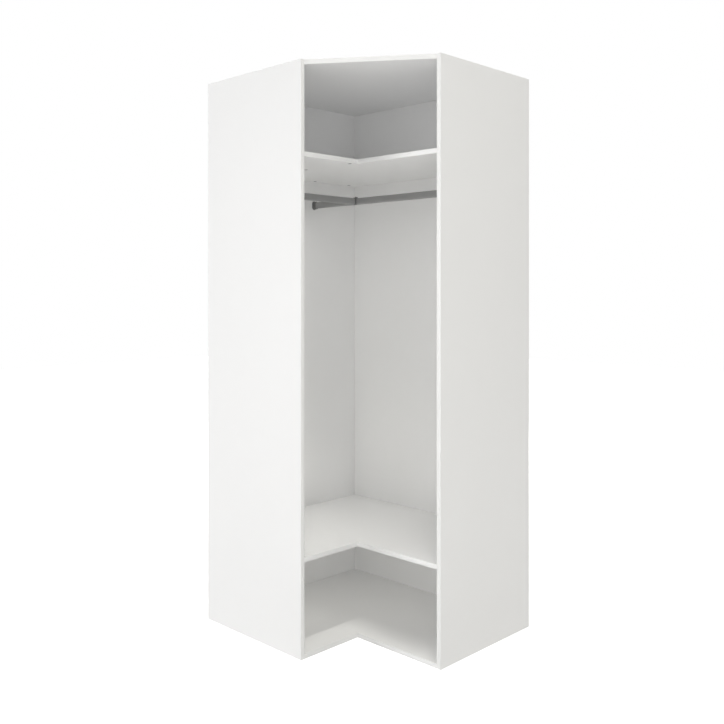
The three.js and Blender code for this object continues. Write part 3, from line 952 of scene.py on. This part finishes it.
# Clothes rails. Oval tube rolled from steel strip with a satin plating, sawn to length. The long rail has a
# hole in its top wall for the saddle's screw.
def tube_tree():
    tree, given = new_tree(
        "rail_tube", Holes="Geometry", Width="Float", Height="Float", Wall="Float", Length="Float",
        Hole_Radius="Float", Finish="Material",
    )
    width, tube_height, both_walls = given["Width"], given["Height"], times(tree, given["Wall"], 2.0)
    inside = oval(tree, minus(tree, width, both_walls), minus(tree, tube_height, both_walls))
    tube = bar(tree, given["Length"], oval(tree, width, tube_height), inside)
    upright = moved(
        tree, cylinder(tree, given["Hole Radius"], tube_height), Rotation=(quarter_turn, 0.0, 0.0),
        Translation=vector_of(tree, 0.0, times(tree, tube_height, 0.5), 0.0),
    )
    drills = copied(tree, upright, given["Holes"])
    return end_tree(tree, painted(tree, solid_of(tree, "DIFFERENCE", tube, drills), given["Finish"]))


tube_maker = tube_tree()
rail_wall = 0.001


def add_rail(node, start, along, length, hole_distances, grain_stretch):
    """Rail from its start, along a level direction, drilled from above at distances from its start."""
    finish = pearled_material(
        f"{node}_satin",
        colours=((0.33, 0.33, 0.33, 1.0), (0.37, 0.37, 0.37, 1.0)),
        roughness=(0.34, 0.42),
        grains=2600.0,
        patches=30.0,
        depth=0.00002,
        metallic=0.7,
        stretch=grain_stretch,
    )
    holes = bpy.data.meshes.new(node)
    holes.from_pydata([(0.0, 0.0, distance) for distance in hole_distances], [], [])
    tube = run_tree(
        tube_maker, holes, Width=rail_wide, Height=rail_tall, Wall=rail_wall, Length=length,
        Hole_Radius=screw_radius + fitting_play, Finish=finish,
    )
    tube.transform(facing(start, along))
    add_piece(f"{node}_tube", tube, node)


long_rail_y = (rail_low.y + rail_high.y) / 2
short_low, short_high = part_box("short_rail")
short_rail_x = (short_low.x + short_high.x) / 2
grain_along = 0.03
add_rail(
    "long_rail", (rail_low.x, long_rail_y, rail_level), to_right, rail_high.x - rail_low.x,
    hole_distances=[short_rail_x - rail_low.x], grain_stretch=(grain_along, 1.0, 1.0),
)
add_rail(
    "short_rail", (short_rail_x, short_low.y, rail_level), to_back, short_high.y - short_low.y,
    hole_distances=[], grain_stretch=(1.0, grain_along, 1.0),
)


# Saddle. A zinc casting that hooks over the long rail and carries the short one on a plug. A black pan-head
# screw goes down through it into the long rail.
def saddle_tree():
    """Saddle along Z, with the long rail along X through the origin and the plug on the side of -Z."""
    lengths = (
        "Rail_Width", "Rail_Height", "Play", "Wall", "Span", "Lip", "Plate_Rim", "Plate_Back", "Plate_Face",
        "Plug_Width", "Plug_Height", "Plug_End", "Screw_Radius",
    )
    tree, given = new_tree("rail_saddle", **dict.fromkeys(lengths, "Float"), Finish="Material")

    def total(first, second, share=2.0):
        return plus(tree, first, times(tree, second, share))

    def across(width, height, length):
        """Oval bar along X, centred on the origin."""
        upright = bar(tree, length, oval(tree, width, height))
        centred = shifted(tree, upright, 0.0, 0.0, times(tree, length, -0.5))
        return moved(tree, centred, Rotation=(0.0, quarter_turn, 0.0))

    span, rail_width, rail_height = given["Span"], given["Rail Width"], given["Rail Height"]
    way_width, way_height = total(rail_width, given["Play"]), total(rail_height, given["Play"])
    hook_width, hook_height = total(way_width, given["Wall"]), total(way_height, given["Wall"])
    minus_span, rail_bottom = times(tree, span, -1.0), times(tree, rail_height, -0.5)
    far_below, far_behind = times(tree, hook_height, -1.0), times(tree, hook_width, -1.0)
    hook = solid_of(
        tree, "DIFFERENCE", across(hook_width, hook_height, span),
        block(tree, (minus_span, far_below, 0.0), (span, given["Lip"], hook_width)),
        block(tree, (minus_span, far_below, far_behind), (span, rail_bottom, hook_width)),
    )
    plate = bar(
        tree, minus(tree, given["Plate Face"], given["Plate Back"]),
        oval(tree, total(rail_width, given["Plate Rim"]), total(rail_height, given["Plate Rim"])),
    )
    plug = bar(
        tree, minus(tree, given["Plate Face"], given["Plug End"]),
        oval(tree, given["Plug Width"], given["Plug Height"]),
    )
    screw_way = moved(
        tree, cylinder(tree, given["Screw Radius"], hook_height), Rotation=(quarter_turn, 0.0, 0.0),
        Translation=vector_of(tree, 0.0, times(tree, hook_height, 0.5), 0.0),
    )
    body = solid_of(
        tree, "UNION", hook, shifted(tree, plate, 0.0, 0.0, given["Plate Back"]),
        shifted(tree, plug, 0.0, 0.0, given["Plug End"]),
    )
    rail_way = across(way_width, way_height, times(tree, span, 2.0))
    cast = solid_of(tree, "DIFFERENCE", body, rail_way, screw_way)
    return end_tree(tree, painted(tree, cast, given["Finish"]))


saddle_low, saddle_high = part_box("rail_saddle")
crossing = Vector((short_rail_x, long_rail_y, rail_level))
saddle_wall = saddle_high.y - crossing.y - mouth_wide / 2
plug_play = rail_wall + fitting_play
saddle = run_tree(
    saddle_tree(),
    Rail_Width=rail_wide,
    Rail_Height=rail_tall,
    Play=fitting_play,
    Wall=saddle_wall,
    Span=0.018,
    Lip=0.003,
    Plate_Rim=0.002,
    Plate_Back=short_high.y + fitting_play - crossing.y,
    Plate_Face=-(mouth_wide + saddle_wall) / 2,
    Plug_Width=rail_wide - 2 * plug_play,
    Plug_Height=rail_tall - 2 * plug_play,
    Plug_End=saddle_low.y - crossing.y,
    Screw_Radius=screw_radius + fitting_play,
    Finish=satin_zinc,
)
saddle.transform(facing(crossing, to_back))
add_piece("rail_saddle_casting", saddle, "rail_saddle", rounding=0.0004)

black_steel = pearled_material(
    "black_steel",
    colours=((0.012, 0.012, 0.013, 1.0), (0.025, 0.025, 0.026, 1.0)),
    roughness=(0.5, 0.62),
    grains=3000.0,
    patches=160.0,
    depth=0.00002,
    metallic=0.2,
)
pan_low, pan_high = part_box("rail_saddle_screw")
pan_radius = (pan_high.x - pan_low.x) / 2
pan_height = 0.0026
pan_edge_angle = math.radians(76)
pan_tip, pan_top = pan_low.z - rail_level, pan_high.z - rail_level
pan_seat = pan_top - pan_height
pan_points = [
    (pan_tip, 0.0, 0.0),
    (pan_tip + eased, eased, 0.0),
    *threaded(pan_tip + screw_tip, pan_seat - screw_depth, screw_radius, screw_pitch, screw_depth),
    (pan_seat, screw_radius, 0.0),
    (pan_seat, pan_radius - eased, 0.0),
    (pan_seat + eased, pan_radius, 0.0),
    *arc(pan_seat, pan_radius, pan_edge_angle, 0.0, steps=10, height_share=pan_height / pan_radius),
]
pan_cross_width_share = 0.28
pan_screw = turned_mesh(
    "pan_head_screw", pan_points, Pitch=screw_pitch, Recess_Level=pan_top,
    Recess_Reach=pan_radius * cross_reach_share, Recess_Width=pan_radius * pan_cross_width_share,
    Recess_Depth=0.0017, Finish=black_steel,
)
pan_screw.transform(Matrix.Translation(crossing))
add_piece("rail_saddle_screw_turned", pan_screw, "rail_saddle_screw")


# Studio. A white floor and white surroundings, soft lamps all round and above, and weak panels of light in
# the compartments, for the light that their white boards pass on. The camera is level, its lens shifted.
white = (1.0, 1.0, 1.0, 1.0)


def seen_directly(tree):
    """One for what the camera and mirror-like or clear surfaces see, and zero for light on other things."""
    rays = tree.nodes.new("ShaderNodeLightPath").outputs
    seen = math_of(tree, "MAXIMUM", rays["Is Camera Ray"], rays["Is Glossy Ray"])
    return math_of(tree, "MAXIMUM", seen, rays["Is Transmission Ray"])


def floor_material():
    """Matt white floor that keeps the shadow, whose own white grows with the distance from the wardrobe."""
    glow_near, glow_from, glow_full = 0.7, 1.0, 3.5
    material, tree, shader = new_material("studio_floor")
    feed(tree, shader, Base_Color=(0.9, 0.9, 0.9, 1.0), Roughness=0.9)
    distance = tree.nodes.new("ShaderNodeVectorMath")
    distance.operation = "LENGTH"
    feed(tree, distance, Vector=object_position(tree))
    share = add_node(
        tree, "ShaderNodeMapRange", Value=distance.outputs["Value"], From_Min=glow_from, From_Max=glow_full,
        To_Min=glow_near, To_Max=1.0,
    )
    strength = times(tree, seen_directly(tree), share.outputs["Result"])
    glow = add_node(tree, "ShaderNodeEmission", Color=white, Strength=strength)
    both = tree.nodes.new("ShaderNodeAddShader")
    tree.links.new(shader.outputs["BSDF"], both.inputs[0])
    tree.links.new(glow.outputs["Emission"], both.inputs[1])
    feed(tree, tree.nodes["Material Output"], Surface=both.outputs["Shader"])
    return material


floor_reach = 12.0
floor_corners = rectangle(-floor_reach, -floor_reach, floor_reach, floor_reach)
floor_mesh = bpy.data.meshes.new("studio_floor")
floor_mesh.from_pydata([(x, y, 0.0) for x, y in floor_corners], [], [(0, 1, 2, 3)])
floor_mesh.materials.append(floor_material())
floor = bpy.data.objects.new("studio_floor", floor_mesh)
bpy.context.scene.collection.objects.link(floor)

world = bpy.data.worlds.new("studio")
bpy.context.scene.world = world
world.use_nodes = True
ambient = 0.1
shown_white = times(world.node_tree, seen_directly(world.node_tree), 1.0 - ambient)
feed(
    world.node_tree, world.node_tree.nodes["Background"], Color=white,
    Strength=plus(world.node_tree, shown_white, ambient),
)


def add_lamp(name, place, target, size, power, colour):
    """Rectangular lamp, of a width and height, at a place and looking at a target."""
    light = bpy.data.lights.new(name, "AREA")
    light.shape = "RECTANGLE"
    light.size, light.size_y = size
    light.energy = power
    light.color = colour
    lamp = bpy.data.objects.new(name, light)
    bpy.context.scene.collection.objects.link(lamp)
    place, target = Vector(place), Vector(target)
    lamp.location = place
    lamp.rotation_euler = (target - place).to_track_quat("-Z", "Y").to_euler()
    lamp.visible_camera = False


def add_level_lamp(name, middle, level, direction, size, power, colour):
    """Lamp that lies level, with its middle at an X and Y, and shines straight up or down."""
    place = Vector((*middle, level))
    add_lamp(name, place, place + Vector(direction), size, power, colour)


def around(turn, level, reach=5.0):
    """Place at a turn in degrees about the wardrobe: 0 is before its left end, 90 before its right end."""
    turn = math.radians(turn)
    return math.sin(turn) * reach, -math.cos(turn) * reach, level


cool, neutral, warm, warmer = (0.995, 0.995, 1.0), (1.0, 1.0, 1.0), (1.0, 0.99, 0.96), (1.0, 0.985, 0.93)
chest, shoulders = (0.0, 0.0, 1.1), (0.0, 0.0, 1.5)
strip_middle, soft_middle, notch_middle = (1.92, -1.67), (1.4, -1.4), (1.6, -1.6)
ceiling, near_floor = 6.0, 0.02
add_level_lamp("overhead_strip", strip_middle, ceiling, downwards, (0.05, 2.1), power=80.0, colour=warmer)
add_level_lamp("overhead_soft", soft_middle, ceiling, downwards, (1.2, 2.1), power=34.0, colour=warm)
add_lamp("wide_front", around(45, level=1.2), chest, size=(3.5, 2.2), power=42.0, colour=neutral)
add_lamp("front_left", around(25, level=1.6), chest, size=(2.0, 2.6), power=7.0, colour=neutral)
add_lamp("high_right", around(82, level=4.0, reach=4.5), chest, size=(1.5, 1.5), power=32.0, colour=warmer)
add_lamp("side_left", around(-30, level=1.8), chest, size=(2.0, 2.6), power=72.0, colour=cool)
add_lamp("side_right", around(120, level=1.8), chest, size=(2.0, 2.6), power=30.0, colour=warmer)
add_lamp("flank_left", around(-10, level=1.8), chest, size=(1.5, 2.6), power=9.0, colour=cool)
add_lamp("tall_left", around(10, level=2.0), shoulders, size=(1.5, 3.6), power=22.0, colour=cool)
add_level_lamp("floor_light", notch_middle, near_floor, upwards, size=(2.4, 2.4), power=4.5, colour=warm)

long_arm, long_size = (0.02, 0.14), (0.85, 0.45)
short_arm, short_size = (-0.2, -0.22), (0.45, 0.4)
under_lower, over_lower, under_rails, over_upper = 0.355, 0.395, 1.74, 1.915
add_level_lamp("under_long_shelf", long_arm, under_lower, downwards, long_size, power=0.27, colour=warmer)
add_level_lamp("under_short_shelf", short_arm, under_lower, downwards, short_size, power=0.3, colour=warmer)
add_level_lamp("above_lower_shelf", short_arm, over_lower, upwards, short_size, power=0.75, colour=warmer)
add_level_lamp("below_rails", short_arm, under_rails, downwards, short_size, power=0.8, colour=warm)
add_level_lamp("over_long_shelf", long_arm, over_upper, upwards, long_size, power=0.25, colour=neutral)
add_level_lamp("over_short_shelf", short_arm, over_upper, upwards, short_size, power=0.1, colour=neutral)
add_lamp("rear", around(225, level=2.2), chest, size=(4.0, 3.0), power=150.0, colour=neutral)

photo_side = 724.0
focal_pixels = 871.8
principal_x, principal_y = 340.0, 287.9
looks_along = Vector((-0.7083, 0.7059, 0.0))
camera_data = bpy.data.cameras.new("camera")
camera_data.sensor_width = 36.0
camera_data.lens = focal_pixels / photo_side * camera_data.sensor_width
camera_data.shift_x = (photo_side / 2 - principal_x) / photo_side
camera_data.shift_y = (principal_y - photo_side / 2) / photo_side
camera_data.clip_end = 60.0
camera = bpy.data.objects.new("camera", camera_data)
bpy.context.scene.collection.objects.link(camera)
camera.location = (2.4903, -2.6384, 1.3928)
camera.rotation_euler = looks_along.to_track_quat("-Z", "Y").to_euler()
bpy.context.scene.camera = camera
bpy.context.scene.view_settings.view_transform = "Standard"
